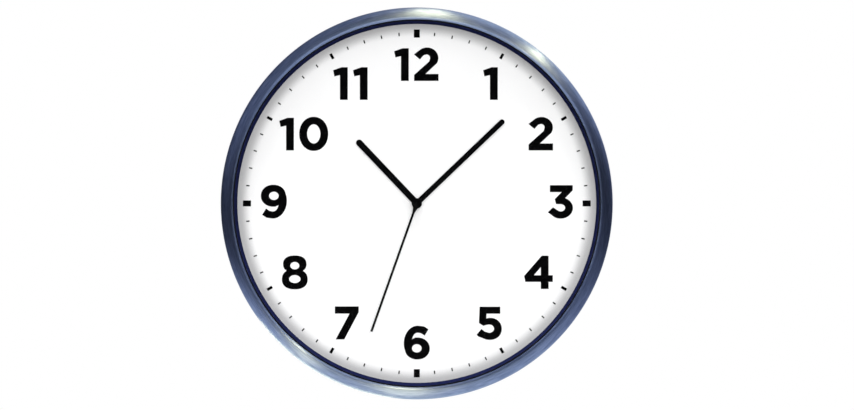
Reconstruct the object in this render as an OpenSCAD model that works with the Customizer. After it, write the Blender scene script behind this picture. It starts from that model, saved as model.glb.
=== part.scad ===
// Outdoor wall clock with a steel case, flat glass and a two-motor movement.
// Every sub-part is drawn lying on its back: x is to the right, y is up the dial, and z is the
// distance from the wall. on_wall() then stands it up, with the face towards -Y and +Z upwards.
// The origin is the point of the hand axis in the wall plane.

/* [Case] */
// Outer diameter of the steel case
case_dia = 355; // [345:1:375]
// Distance from the wall to the crown of the bezel
case_depth = 47.5; // [47.5:0.5:56]
// Thickness of the steel sheet
steel_t = 1; // [0.8:0.1:1.3]
// Width of the convex bezel, seen from the front
bezel_w = 11.2; // [10.4:0.1:13]
// How far the crown of the bezel lies inside the case's side
crown_in = 8.6; // [8:0.1:9.2]
// How far the shoulder's curve reaches from the crown down to the side
shoulder_r = 6; // [5.5:0.5:7]
// Fall from the crown of the bezel to the end of its lip
lip_drop = 2.5; // [2.2:0.1:3]
// Distance from the wall to the rear edge of the steel side
rear_edge = 0.6; // [0.4:0.1:1]

/* [Glass] */
// Thickness of the glass
glass_t = 3; // [2:0.5:4]
// Thickness of the rubber ring in front of the glass
lens_gasket_t = 1; // [0.8:0.1:1.4]
// How far that rubber ring shows inside the bezel's lip
gasket_show = 1.1; // [0.2:0.1:1.5]
// Free height between the second hand and the glass
glass_clear = 3.8; // [2:0.1:6]
// How much narrower the spacer ring is at the dial than at the bezel's lip
ring_slope = 3; // [1:0.1:5]
// Wall of the spacer ring
spacer_t = 2; // [1.6:0.1:2.5]

/* [Dial] */
// Thickness of the aluminium dial
dial_t = 0.5; // [0.3:0.1:1]
// Thickness of the moulded dial carrier
carrier_t = 2; // [1.6:0.1:3]
// Height of the ribs behind the dial carrier
rib_h = 4; // [3:0.5:6]
// Radius of the inner rib behind the dial carrier
inner_rib_r = 70; // [65:1:85]
// Radius of the outer rib behind the dial carrier
outer_rib_r = 115; // [100:1:140]
// Thickness of the printed layer
print_t = 0.15; // [0.1:0.05:0.3]
// Height of the numerals
numeral_h = 29; // [22:0.5:31]
// Distance from the circle of the ticks in to the circle of the numerals
numeral_inset = 28.1; // [25:0.1:36]
// How far the ink spreads past the drawn outline of a numeral
ink_spread = 0.35; // [0:0.05:0.4]
// Distance from the spacer ring in to the circle of the ticks
tick_inset = 8.7; // [6:0.1:12]
// Length of the ticks at 12, 3, 6 and 9
quarter_tick_l = 7.4; // [5:0.1:8]
// Width of the ticks at 12, 3, 6 and 9
quarter_tick_w = 5.4; // [3:0.1:6]
// Length of the other hour ticks
hour_tick_l = 5.3; // [4:0.1:7]
// Width of the other hour ticks
hour_tick_w = 2.5; // [1.5:0.1:3]
// Length of the minute ticks
minute_tick_l = 3; // [2:0.1:4]
// Width of the minute ticks
minute_tick_w = 1.1; // [0.5:0.1:1.4]

/* [Hands] */
// Thickness of each hand
hand_t = 0.6; // [0.4:0.1:0.8]
// Radius of the round boss of each hand
boss_r = 4.7; // [4.2:0.1:6]
// Height of the boss of each hand
boss_h = 1.6; // [1.4:0.1:1.8]
// Free height between one boss and the next
boss_gap = 1; // [0.6:0.1:1.2]
// Length of the hour hand from the axis
hour_hand_l = 78.9; // [60:0.1:95]
// Width of the hour hand
hour_hand_w = 5.8; // [4:0.1:8]
// Length of the minute hand from the axis
minute_hand_l = 109.4; // [96:0.1:130]
// Width of the minute hand
minute_hand_w = 4.9; // [3:0.1:8]
// Length of the second hand from the axis
second_hand_l = 123.4; // [100:0.1:150]
// Width of the second hand
second_hand_w = 2.1; // [1.2:0.1:3]
// Angle of the hour hand, clockwise from 12
hour_hand_angle = 316.5; // [0:0.5:360]
// Angle of the minute hand, clockwise from 12
minute_hand_angle = 46.3; // [0:0.1:360]
// Angle of the second hand, clockwise from 12
second_hand_angle = 199.5; // [0:0.5:360]

/* [Back cover] */
// Thickness of the back cover
cover_t = 2.5; // [2.4:0.1:3]
// Thickness of the rubber ring inside the back cover
back_gasket_t = 1.2; // [1:0.1:1.6]
// Gap between the lugs and the wall that clamps the dial carrier
clamp_gap = 5; // [3:0.5:10]
// Thickness of the clamping wall
clamp_t = 2.5; // [2:0.1:4]
// Number of cover screws and of welded lugs
lug_count = 6; // [4:1:10]
// Radius of a welded lug
lug_r = 4.5; // [4:0.1:4.8]
// Length of a welded lug
lug_l = 12; // [11:0.5:14]
// Shank radius of a cover screw
cover_screw_r = 2; // [1.5:0.1:2.2]

/* [Hanger] */
// Distance from the top of the case down to the keyhole's round part
hanger_drop = 57.5; // [50:0.5:65]
// Radius of the keyhole's round part
keyhole_r = 5; // [4:0.1:5.5]
// Width of the keyhole's slot
slot_w = 4.5; // [3.5:0.1:5]
// Rise of the slot above the centre of the round part
slot_rise = 9; // [7:0.5:11]
// Thickness of the steel hanger plate
hanger_t = 1.5; // [1:0.1:1.6]
// Depth of the pocket for the wall screw's head
pocket_d = 9.5; // [6:0.5:12]

/* [Battery hatch] */
// Width of the land round the opening, at the sides
hatch_land_x = 9.5; // [9:0.1:12]
// Width of the land round the opening, above and below
hatch_land_y = 5; // [4.5:0.1:5.2]
// Thickness of the hatch
hatch_t = 2; // [1.8:0.1:2.2]
// Thickness of the hatch gasket
hatch_gasket_t = 0.8; // [0.6:0.1:1]
// Room that the opening leaves beside the battery trough
opening_room_x = 5; // [4:0.1:5.5]
// Room that the opening leaves below the battery trough
opening_room_y = 3.8; // [3:0.1:4]
// Room that the opening leaves above the buttons
button_room = 0.6; // [0.3:0.1:0.9]
// Shank radius of the small screws
small_screw_r = 1; // [0.8:0.1:1.2]
// Length of the small screws
small_screw_l = 8; // [6:0.5:9]

/* [Movement] */
// Width of the movement
movement_w = 64; // [64:0.5:70]
// Height of the movement's top edge above the hand axis
movement_top = 39; // [39:0.5:44]
// Wall of the movement's plates and case
movement_wall = 1.5; // [1.3:0.1:1.5]
// Thickness of the circuit board
board_t = 1; // [0.8:0.1:1.2]
// Thickness of the train plate
train_plate_t = 1.2; // [1:0.1:1.4]
// Thickness of each toothed wheel
wheel_t = 0.8; // [0.6:0.1:0.9]
// Radius of a wheel's arbor
arbor_r = 0.4; // [0.35:0.05:0.5]
// Radius of the second hand's arbor
second_arbor_r = 0.5; // [0.4:0.05:0.6]
// Wall of the minute hand's tube
minute_tube_t = 1.05; // [0.6:0.05:1.1]
// Wall of the hour hand's tube
hour_tube_t = 0.75; // [0.5:0.05:1]
// Wall of the neck round the hour tube
neck_t = 1.05; // [0.8:0.05:1.2]
// Running clearance of a shaft in its bearing
run_gap = 0.05; // [0.02:0.01:0.08]

/* [Battery] */
// Diameter of the battery cell
cell_dia = 14.5; // [13.5:0.1:14.5]
// Length of the battery cell with its nipple
cell_l = 50.5; // [49:0.1:50.5]
// Room that the battery spring takes at the cell's base
spring_room = 5.1; // [4:0.1:7]
// Wire radius of the battery spring
spring_wire_r = 0.35; // [0.3:0.05:0.4]
// Number of turns of the battery spring
spring_turns = 4; // [3:1:5]

/* [Buttons] */
// Radius of a button
button_r = 2; // [1.5:0.1:2.2]
// Travel of a button
button_travel = 0.7; // [0.4:0.1:0.8]
// Distance between two buttons
button_pitch = 16; // [12:0.5:20]

/* [Hidden] */
$fn = 96;

// General clearances
fit_gap = 0.3;      // between a part and the recess that it drops into
rim_gap = 0.4;      // between a disc and the inside of the steel case
cut = 0.5;          // how far a cutter runs past the face that it opens
sink = 0.5;         // how far a fused piece reaches into its parent

// Radii of the case, from the outside in
case_r = case_dia / 2;
inner_r = case_r - steel_t;
crown_r = case_r - crown_in;
lip_r = case_r - bezel_w;
lug_ring_r = inner_r - lug_r;
clamp_r = lug_ring_r - lug_r - clamp_gap;
dial_open_r = lip_r - ring_slope;
tick_r = dial_open_r - tick_inset;
numeral_r = tick_r - numeral_inset;
hanger_y = case_r - hanger_drop;

// Radii of the parts on the hand axis, from the inside out
minute_tube_r = second_arbor_r + run_gap + minute_tube_t;
hour_tube_r = minute_tube_r + run_gap + hour_tube_t;
neck_r = hour_tube_r + run_gap + neck_t;

// Heights above the wall, from the bezel's lip backwards to the hands. The second hand's boss
// lies highest, and the neck that the hands turn on rises a little above the dial.
lip_z = case_depth - lip_drop;
shoulder_z = case_depth - shoulder_r;
glass_z = lip_z - lens_gasket_t - glass_t;
second_boss_z = glass_z - glass_clear - boss_h;
minute_boss_z = second_boss_z - boss_gap - boss_h;
hour_boss_z = minute_boss_z - boss_gap - boss_h;
neck_top = hour_boss_z - boss_gap;
neck_rise = 1.2;
dial_z = neck_top - neck_rise;
carrier_z = dial_z - dial_t - carrier_t;

// The movement hangs on the dial carrier. It is as deep as the floor of the cell's trough, the
// cell with its play, and the little by which the cell lies inside the rear face.
floor_t = 1.3;
cell_play = 0.3;
cell_rear = 0.4;
plate_z = carrier_z - movement_wall;
trough_floor = plate_z - floor_t;
cell_z = trough_floor - cell_play - cell_dia / 2;
movement_z = cell_z - cell_dia / 2 - cell_rear;

// Heights of the back cover's lugs and hatch frame
lug_z = cover_t + back_gasket_t;
frame_z = hatch_t + hatch_gasket_t;
frame_t = 2.2;

// Heights inside the movement
inside_z = movement_z + movement_wall;
board_z = inside_z + 2;
board_top = board_z + board_t;
train_z = board_top + 1.2;
train_top = train_z + train_plate_t;

// The battery trough, seen from the front, lies below the wheels, and the buttons between them
trough_high = -16.7;
trough_side = 1;
trough_w = cell_dia + 2 * trough_side;
trough_low = trough_high - trough_w;
trough_wall = 1.8;
cell_y = trough_low + trough_w / 2;
contact_t = 0.4;
trough_l = cell_l + spring_room + contact_t;
movement_bottom = trough_wall - trough_low;
button_y = trough_high + 5.1;
button_hole_r = button_r + 0.2;

// The opening shows the trough and the buttons, and the hatch covers it with a land all round
opening_top = button_y + button_r + button_room;
opening_low = trough_low - opening_room_y;
opening_w = trough_l + 2 * opening_room_x;
opening_h = opening_top - opening_low;
hatch_w = opening_w + 2 * hatch_land_x;
hatch_h = opening_h + 2 * hatch_land_y;
hatch_y = (opening_top + opening_low) / 2;

// The bezel's section: a wide elliptical shoulder outside the crown and a narrow fall inside it.
// inset moves the same section inwards by the thickness of the sheet.
function fall_a(inset) =
    (bezel_w - crown_in) / sqrt(1 - pow((shoulder_r - lip_drop) / shoulder_r, 2)) - inset;
function fall_angle(inset) = 180 - asin((shoulder_r - lip_drop) / (shoulder_r - inset));
function bezel_curve(inset) = concat(
    arc(crown_r, shoulder_z, crown_in - inset, shoulder_r - inset, 0, 90, 10),
    arc(crown_r, shoulder_z, fall_a(inset), shoulder_r - inset, 90, fall_angle(inset), 6)
);

// Points on an ellipse. A squareness under 1 fills its corners out, as type designers do.
function arc(cx, cy, rx, ry, from, to, steps, squareness = 1) = [
    for (i = [0:steps])
        let (a = from + (to - from) * i / steps)
            [cx + rx * swell(cos(a), squareness), cy + ry * swell(sin(a), squareness)]
];
function swell(v, squareness) = sign(v) * pow(abs(v), squareness);
function backwards(points) = [for (i = [len(points) - 1:-1:0]) points[i]];

// Stands a lying sub-part up against the wall
module on_wall() {
    rotate([90, 0, 0]) children();
}

module at_height(z) {
    translate([0, 0, z]) children();
}

// Straight tube with its axis along z
module tube(outer, inner, z0, z1) {
    difference() {
        at_height(z0) cylinder(r = outer, h = z1 - z0);
        at_height(z0 - cut) cylinder(r = inner, h = z1 - z0 + 2 * cut);
    }
}

// Plate with round corners, centred on its own middle
module rounded_plate(w, h, r, z0, z1) {
    at_height(z0) linear_extrude(height = z1 - z0) {
        square([w - 2 * r, h], center = true);
        square([w, h - 2 * r], center = true);
        for (sx = [-1, 1], sy = [-1, 1])
            translate([sx * (w / 2 - r), sy * (h / 2 - r)]) circle(r = r);
    }
}

// Countersunk screw with a cross recess, its head flush with z = 0
module flat_screw(shank_r, length) {
    difference() {
        union() {
            cylinder(r1 = shank_r * head_ratio, r2 = shank_r, h = head_h(shank_r));
            at_height(head_h(shank_r)) cylinder(r = shank_r, h = length - head_h(shank_r));
        }
        cross_recess(shank_r);
    }
}

module cross_recess(shank_r) {
    for (a = [0, 90])
        rotate([0, 0, a]) translate([-shank_r, -shank_r / 5, -cut])
            cube([2 * shank_r, shank_r * 2 / 5, cut + shank_r / 2]);
}

// Seat for a countersunk screw through a plate of thickness t
module flat_screw_seat(shank_r, t) {
    at_height(-cut) cylinder(r = shank_r + screw_play, h = t + 2 * cut);
    at_height(-0.01)
        cylinder(r1 = shank_r * head_ratio + screw_play, r2 = shank_r + screw_play,
                 h = head_h(shank_r));
}

head_ratio = 1.9;     // head radius over shank radius
screw_play = 0.1;     // radial play of a screw in the plate that it holds
thread_play = 0.05;   // radial play drawn between a screw and its thread
tip_gap = 2;          // free depth past the tip of a cover screw
function head_h(shank_r) = 1.05 * shank_r;

// Places of the screws
module at_lugs() {
    for (i = [0:lug_count - 1]) rotate([0, 0, i * 360 / lug_count])
        translate([lug_ring_r, 0, 0]) children();
}

hanger_w = 36;
hanger_h = 40;
hanger_mid = hanger_y + 4;
hanger_screw_x = 14.6;
hanger_screw_y = 16.4;
module at_hanger_screws() {
    for (sx = [-1, 1], sy = [-1, 1])
        translate([sx * hanger_screw_x, hanger_mid + sy * hanger_screw_y, 0]) children();
}

hatch_corner_r = 4;
hatch_screw_inset = 4.7;
module at_hatch_screws() {
    for (sx = [-1, 1], sy = [-1, 1])
        translate([sx * (hatch_w / 2 - hatch_screw_inset),
                   hatch_y + sy * (hatch_h / 2 - hatch_screw_inset), 0])
            children();
}

// Steel case and glass

module steel_case() {
    color("#8f9bb3") on_wall() {
        rotate_extrude() polygon(concat(
            [[inner_r, rear_edge], [case_r, rear_edge]],
            bezel_curve(0),
            backwards(bezel_curve(steel_t))
        ));
        at_lugs() lug();
    }
}

// Welded block with a blind threaded hole that opens to the rear
module lug() {
    difference() {
        at_height(lug_z) union() {
            cylinder(r = lug_r, h = lug_l);
            translate([0, -lug_r, 0]) cube([lug_r + steel_t / 2, 2 * lug_r, lug_l]);
        }
        at_height(lug_z - cut)
            cylinder(r = cover_screw_r + thread_play, h = lug_l + cut - lug_floor);
    }
}
lug_floor = 1.5;      // metal left in front of the thread

glass_rim_gap = 2.2;  // between the glass and the steel side
glass_r = inner_r - glass_rim_gap;
module glass_lens() {
    color("#e9f2f4", 0.25) on_wall() at_height(glass_z) cylinder(r = glass_r, h = glass_t);
}

lens_gasket_inset = 0.7;
module lens_gasket() {
    color("#1b1c20") on_wall()
        tube(glass_r - lens_gasket_inset, lip_r - gasket_show, glass_z + glass_t, lip_z);
}

// Cone that runs from the dial to the glass, with a flange under the glass
module spacer_ring() {
    top_r = lip_r - gasket_show - 0.2;
    flange_r = glass_r - 0.4;
    flange_t = 1.4;
    color("#10142a") on_wall() rotate_extrude() polygon([
        [dial_open_r, dial_z], [top_r, glass_z], [flange_r, glass_z],
        [flange_r, glass_z - flange_t], [top_r + spacer_t, glass_z - flange_t],
        [dial_open_r + spacer_t, dial_z]
    ]);
}

// Dial

dial_hole_r = neck_r + 0.7;
carrier_r = inner_r - 2 * rim_gap;
module dial_sheet() {
    color("#f4f4f4") on_wall()
        tube(dial_open_r + 4, dial_hole_r, dial_z - dial_t, dial_z);
}

// Moulded disc with two rear ribs and four bosses for the movement's ears
rib_t = 2;
module dial_carrier() {
    color("#d9d9d6") on_wall() {
        tube(carrier_r, neck_r + fit_gap, carrier_z, carrier_z + carrier_t);
        for (r = [inner_rib_r, outer_rib_r])
            tube(r + rib_t / 2, r - rib_t / 2, carrier_z - rib_h, carrier_z + sink);
        at_movement_screws()
            tube(ear_boss_r, small_screw_r + thread_play, ear_z + ear_t, carrier_z + sink);
    }
}

// Numerals are drawn in hundredths of their height, round the middle of their own width
stem_w = 22;
glyph_spread = ink_spread * 100 / numeral_h;
function digit_width(d) = [88.6, 43.2, 74.3, 75.6, 87.4, 76.4, 79.6, 73, 78.6, 79.6][d];

// Outline moved outwards by d: each corner goes along the sum of its two sides' normals
function spread(p, d) =
    let (n = len(p), s = d * turn_sign(p))
    [for (i = [0:n - 1])
        let (u = unit(p[i] - p[(i + n - 1) % n]), v = unit(p[(i + 1) % n] - p[i]))
            p[i] + s * [u.y + v.y, -u.x - v.x] / (1 + u * v)];
function unit(v) = v / norm(v);

// 1 for an outline that runs anticlockwise and -1 for the other way, from its signed area
function turn_sign(p) =
    let (n = len(p), parts = [for (i = [0:n - 1]) cross(p[i], p[(i + 1) % n])])
    sign(parts * [for (part = parts) 1]);

module ink(outline) {
    polygon(spread(outline, glyph_spread));
}

// What stays white inside a numeral, narrowed by the ink that spreads into it
module bare(outline) {
    polygon(spread(outline, -glyph_spread));
}

module one() {
    ink([[21.6, 100], [21.6, 0], [21.6 - stem_w, 0], [21.6 - stem_w, 78.2],
         [-17.9, 73.8], [-21.6, 91], [3.6, 100]]);
}

module two() {
    ink(concat(
        arc(2.3, 70.5, 34.5, 32.1, 135, -28, 12), [[-5.8, 19.3], [37.1, 19.3], [37.1, 0],
        [-37.1, 0], [-37.1, 17], [10, 59]], arc(1.1, 70.9, 12.1, 12, -25, 110, 8),
        [[-9.2, 80.4], [-20.1, 67.8], [-36.8, 81.9]]
    ));
}

module three() {
    ink(concat(
        [[-32.2, 101], [37, 101], [37, 86.6], [11.7, 60.6]],
        arc(0.2, 30.6, 37.6, 32.2, 68, -118, 14), [[-37.8, 17.3], [-23.5, 31.4]],
        arc(1, 31.2, 14.7, 12.7, 232, 450, 12), [[-13.2, 44.3], [-16.6, 58.4], [6.7, 81.8],
        [-32.2, 81.8]]
    ));
}

module four() {
    difference() {
        ink([[10.7, 102], [30.5, 102], [30.5, 40.5], [43.7, 40.5], [43.7, 22.3],
             [30.5, 22.3], [30.5, 0], [8.5, 0], [8.5, 22.3], [-40.3, 22.3], [-43.7, 39.2]]);
        bare([[8.5, 70.9], [8.5, 40.5], [-17.3, 40.5]]);
    }
}

module five() {
    ink(concat(
        [[-29.2, 100.4], [33.3, 100.4], [33.3, 81], [-9.6, 81], [-10.6, 63.1]],
        arc(1.6, 32.2, 36.6, 33.5, 92, -122, 16, 0.94), [[-32.6, 8.8], [-38.2, 13.8],
        [-24.6, 30.1], [-14.9, 22.6]], arc(0, 32.8, 16.2, 14.2, -95, 95, 12),
        [[-10.3, 45.5], [-18.3, 43], [-31.1, 51.2]]
    ));
}

module six() {
    difference() {
        ink(concat(
            arc(1.5, 32.2, 38.3, 33.4, 98, -155, 18, 0.96),
            arc(3.1, 48, 42.9, 54.6, 195, 90, 10),
            [[22.4, 100.1], [35.1, 91.7], [24.2, 74.1], [14.3, 81]],
            arc(3.1, 61, 18, 22, 90, 150, 4), [[-17.1, 59]]
        ));
        bare(arc(0, 32.6, 16.4, 14.2, 0, 354, 30));
    }
}

module seven() {
    ink([[-36.5, 101], [36, 101], [36, 84.4], [-8.9, 0], [-33.1, 0], [10.4, 81], [-36.5, 81]]);
}

module eight() {
    difference() {
        union() {
            ink(arc(0, 76.6, 35.6, 25.7, 0, 354, 30, 0.85));
            ink(arc(0, 28.9, 39.3, 30.5, 0, 354, 30, 0.85));
        }
        bare(arc(0, 71.6, 15.4, 13, 0, 354, 24));
        bare(arc(0, 29.5, 19.2, 13.8, 0, 354, 24));
    }
}

module nine() {
    translate([0, 101]) rotate(180) six();
}

module zero() {
    difference() {
        ink(arc(0, 50.7, 44.3, 52.3, 0, 355, 40, 0.96));
        bare(arc(0, 50.7, 22.1, 31.4, 0, 355, 30));
    }
}

module digit(d) {
    if (d == 0) zero();
    if (d == 1) one();
    if (d == 2) two();
    if (d == 3) three();
    if (d == 4) four();
    if (d == 5) five();
    if (d == 6) six();
    if (d == 7) seven();
    if (d == 8) eight();
    if (d == 9) nine();
}

// A numeral of one or two digits, centred on its ink
digit_gap = 19.2;
module numeral(n) {
    unit = numeral_h / 100;
    tens = floor(n / 10);
    ones = n % 10;
    if (tens == 0)
        printed() scale(unit) translate([0, -50.5]) digit(ones);
    else {
        full = digit_width(tens) + digit_gap + digit_width(ones);
        printed() scale(unit)
            translate([(digit_width(tens) - full) / 2, -50.5]) digit(tens);
        printed() scale(unit)
            translate([(full - digit_width(ones)) / 2, -50.5]) digit(ones);
    }
}

module printed() {
    at_height(dial_z) linear_extrude(height = print_t) children();
}

// Optical shift of each numeral from its even place on the circle, from 1 to 12
numeral_shift = [
    [3.8, -0.3], [3.3, 0], [4.3, 1.6], [1.2, 0.4], [2.7, 0.7], [0, -0.2],
    [-0.4, 0.8], [-1.5, 0.5], [-3.6, 1.7], [6.7, 0], [2.8, -0.3], [-0.4, 0]
];

module ticks() {
    for (i = [0:59]) {
        quarter = i % 15 == 0;
        hour = i % 5 == 0;
        w = quarter ? quarter_tick_w : hour ? hour_tick_w : minute_tick_w;
        l = quarter ? quarter_tick_l : hour ? hour_tick_l : minute_tick_l;
        rotate([0, 0, i * 6]) translate([0, tick_r, 0])
            printed() square([w, l], center = true);
    }
}

module dial_print() {
    color("#0c0c0e") on_wall() {
        ticks();
        for (n = [1:12])
            translate([numeral_r * sin(30 * n) + numeral_shift[n - 1][0],
                       numeral_r * cos(30 * n) + numeral_shift[n - 1][1], 0])
                numeral(n);
    }
}

// Hands

hand_play = 0.02;     // play drawn between a hand and the tube that it is pressed on

module hand_at(angle, z) {
    rotate([0, 0, -angle]) at_height(z) children();
}

// Straight blade with a round tip and a pierced round boss
module pointer(l, w, boss_z, hole_r) {
    difference() {
        union() {
            at_height(boss_z) cylinder(r = boss_r, h = boss_h);
            at_height(boss_z + boss_h - hand_t) linear_extrude(height = hand_t) {
                translate([-w / 2, 0]) square([w, l - w / 2]);
                translate([0, l - w / 2]) circle(r = w / 2);
            }
        }
        at_height(boss_z - cut) cylinder(r = hole_r + hand_play, h = boss_h + 2 * cut);
    }
}

module hour_hand() {
    color("#0d0d0f") on_wall() hand_at(hour_hand_angle, 0)
        pointer(hour_hand_l, hour_hand_w, hour_boss_z, hour_tube_r);
}

module minute_hand() {
    color("#0d0d0f") on_wall() hand_at(minute_hand_angle, 0)
        pointer(minute_hand_l, minute_hand_w, minute_boss_z, minute_tube_r);
}

// Thin square-ended blade that flares into a closed boss
module second_hand() {
    flare_l = 6.4;
    flare_w = 3.2;
    cap_t = 0.4;
    blade_z = second_boss_z + boss_h - hand_t - cap_t;
    color("#0d0d0f") on_wall() hand_at(second_hand_angle, 0) difference() {
        union() {
            at_height(second_boss_z) cylinder(r = boss_r, h = boss_h);
            at_height(blade_z) linear_extrude(height = hand_t) {
                translate([-second_hand_w / 2, 0]) square([second_hand_w, second_hand_l]);
                polygon([[-flare_w, 0], [flare_w, 0], [flare_w, boss_r / 2],
                         [second_hand_w / 2, flare_l], [-second_hand_w / 2, flare_l],
                         [-flare_w, boss_r / 2]]);
            }
        }
        at_height(second_boss_z - cut)
            cylinder(r = second_arbor_r + hand_play, h = boss_h - cap_t + cut);
    }
}

// Back cover and its fittings

cover_r = inner_r - rim_gap;
recess_play = 0.2;
pocket_w = 22;
pocket_h = 30;
pocket_wall = 1.5;
module back_cover() {
    color("#24262b") on_wall() difference() {
        union() {
            cylinder(r = cover_r, h = cover_t);
            tube(clamp_r, clamp_r - clamp_t, cover_t - sink, carrier_z);
            translate([0, hanger_mid, 0])
                rounded_plate(pocket_w + 2 * pocket_wall, pocket_h + 2 * pocket_wall, 3,
                              cover_t - sink, pocket_z + pocket_wall);
            at_hanger_screws() at_height(cover_t - sink)
                cylinder(r = screw_boss_r, h = hanger_boss_h + sink);
            translate([0, hatch_y, 0])
                rounded_plate(hatch_w + 2 * frame_rim, hatch_h + 2 * frame_rim,
                              hatch_corner_r + frame_rim, cover_t - sink, frame_z + frame_t);
            at_hatch_screws() at_height(frame_z + sink)
                cylinder(r = screw_boss_r, h = frame_t + hatch_boss_h - sink);
        }
        translate([0, hanger_mid, 0]) {
            rounded_plate(hanger_w + 2 * recess_play, hanger_h + 2 * recess_play, 3,
                          -cut, hanger_t);
            rounded_plate(pocket_w, pocket_h, 2, -cut, pocket_z);
        }
        at_hanger_screws() at_height(-cut)
            cylinder(r = small_screw_r + thread_play, h = cover_t + hanger_boss_h - 1 + cut);
        translate([0, hatch_y, 0]) {
            rounded_plate(hatch_w + 2 * recess_play, hatch_h + 2 * recess_play,
                          hatch_corner_r, -cut, frame_z);
            rounded_plate(opening_w, opening_h, 2, -cut, frame_z + frame_t + cut);
        }
        at_hatch_screws() at_height(-cut)
            cylinder(r = small_screw_r + thread_play, h = frame_z + frame_t + hatch_boss_h + cut);
        at_lugs() flat_screw_seat(cover_screw_r, cover_t);
    }
}
pocket_z = hanger_t + pocket_d;
screw_boss_r = 2.9;
hanger_boss_h = 6.5;
hatch_boss_h = 4;
frame_rim = 1.6;

module back_gasket() {
    color("#18191c") on_wall() difference() {
        tube(cover_r, clamp_r + 1.5, cover_t, lug_z);
        at_lugs() at_height(cover_t - cut)
            cylinder(r = cover_screw_r + screw_play, h = back_gasket_t + 2 * cut);
    }
}

module cover_screws() {
    color("#b9bcc2") on_wall() at_lugs()
        flat_screw(cover_screw_r, lug_z + lug_l - lug_floor - tip_gap);
}

// Steel plate with the keyhole: a round hole that the wall screw's head passes through, and a
// slot above it that the screw's shank slides up
module hanger_plate() {
    color("#9a9da3") on_wall() difference() {
        translate([0, hanger_mid, 0]) rounded_plate(hanger_w, hanger_h, 3, 0, hanger_t);
        translate([0, hanger_y, -cut]) linear_extrude(height = hanger_t + 2 * cut) {
            circle(r = keyhole_r);
            translate([-slot_w / 2, 0]) square([slot_w, slot_rise]);
            translate([0, slot_rise]) circle(r = slot_w / 2);
        }
        at_hanger_screws() flat_screw_seat(small_screw_r, hanger_t);
    }
}

module hanger_screws() {
    color("#b9bcc2") on_wall() at_hanger_screws() flat_screw(small_screw_r, small_screw_l);
}

// Lid with a raised pad inside the opening and a shallow finger grip at its lower edge
pad_inset_x = 4;
pad_inset_y = 3;
pad_t = 0.5;
grip_w = 16;
grip_h = 3;
grip_d = 0.8;
grip_inset = 4;
module battery_hatch() {
    color("#2a2c31") on_wall() difference() {
        translate([0, hatch_y, 0]) union() {
            rounded_plate(hatch_w, hatch_h, hatch_corner_r, 0, hatch_t);
            rounded_plate(opening_w - 2 * pad_inset_x, opening_h - 2 * pad_inset_y, 2,
                          hatch_t - sink, hatch_t + pad_t);
        }
        translate([0, hatch_y - hatch_h / 2 + grip_inset, -cut])
            linear_extrude(height = cut + grip_d) square([grip_w, grip_h], center = true);
        at_hatch_screws() flat_screw_seat(small_screw_r, hatch_t);
    }
}

module hatch_gasket() {
    color("#18191c") on_wall() difference() {
        translate([0, hatch_y, 0]) difference() {
            rounded_plate(hatch_w, hatch_h, hatch_corner_r, hatch_t, frame_z);
            rounded_plate(opening_w, opening_h, 2, hatch_t - cut, frame_z + cut);
        }
        at_hatch_screws() at_height(hatch_t - cut)
            cylinder(r = small_screw_r + screw_play, h = hatch_gasket_t + 2 * cut);
    }
}

module hatch_screws() {
    color("#b9bcc2") on_wall() at_hatch_screws() flat_screw(small_screw_r, small_screw_l);
}

// Movement: its plates and case

ear_t = 2;
ear_boss_h = 6.7;
ear_screw_tip = 1.2;
ear_z = carrier_z - ear_boss_h - ear_t;
ear_w = 9;
ear_out = 9.5;
ear_boss_r = 3;
ear_hole_out = 5;
ear_low = -28;
ear_high = 32;
module at_movement_screws() {
    for (sx = [-1, 1], y = [ear_low, ear_high])
        translate([sx * (movement_w / 2 + ear_hole_out), y, 0]) children();
}

movement_h = movement_top + movement_bottom;
movement_mid = (movement_top - movement_bottom) / 2;

function button_x(i) = (i - 1) * button_pitch;

post_x = movement_w / 2 - 3.5;
post_low = -12.4;
post_high = 23.8;
module at_posts() {
    for (sx = [-1, 1], y = [post_low, post_high])
        translate([sx * post_x, y, 0]) children();
}
post_r = 1.4;

rod_r = 4;
rod_y = 31.5;
rod_z = inside_z + 7.3;
rod_l = 50;
cradle_x = 20;
cradle_t = 2;
cradle_w = 10;
winding_l = 24;
winding_t = 1;

module movement_back_case() {
    color("#1f2226") on_wall() difference() {
        union() {
            difference() {
                translate([0, movement_mid, 0])
                    rounded_plate(movement_w, movement_h, 3, movement_z, plate_z);
                translate([0, movement_mid, 0])
                    rounded_plate(movement_w - 2 * movement_wall, movement_h - 2 * movement_wall,
                                  2, inside_z, plate_z + cut);
            }
            translate([-movement_w / 2 + sink, -movement_bottom + sink, movement_z])
                cube([movement_w - 2 * sink, trough_high + movement_wall + movement_bottom - sink,
                      plate_z - movement_z]);
            for (sx = [-1, 1], y = [ear_low, ear_high])
                translate([sx * (movement_w / 2 - sink) - (sx < 0 ? ear_out : 0), y - ear_w / 2,
                           ear_z])
                    cube([ear_out, ear_w, ear_t]);
            at_posts() at_height(inside_z - sink)
                cylinder(r = post_r, h = board_z - inside_z + sink);
            for (sx = [-1, 1])
                translate([sx * cradle_x - cradle_t / 2, rod_y - cradle_w / 2, inside_z - sink])
                    cube([cradle_t, cradle_w, rod_z - inside_z + sink]);
        }
        translate([-trough_l / 2, trough_low, movement_z - cut])
            cube([trough_l, trough_w, trough_floor - movement_z + cut]);
        for (i = [0:2])
            translate([button_x(i), button_y, movement_z - cut])
                cylinder(r = button_hole_r, h = movement_wall + 2 * cut);
        at_movement_screws() at_height(ear_z - cut)
            cylinder(r = small_screw_r + screw_play, h = ear_t + 2 * cut);
        lengthways(rod_y, rod_z) cylinder(r = rod_r + 0.05, h = rod_l + 2, center = true);
    }
}

// Stands a cylinder along x at the given place
module lengthways(y, z, x = 0) {
    translate([x, y, z]) rotate([0, 90, 0]) children();
}

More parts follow.
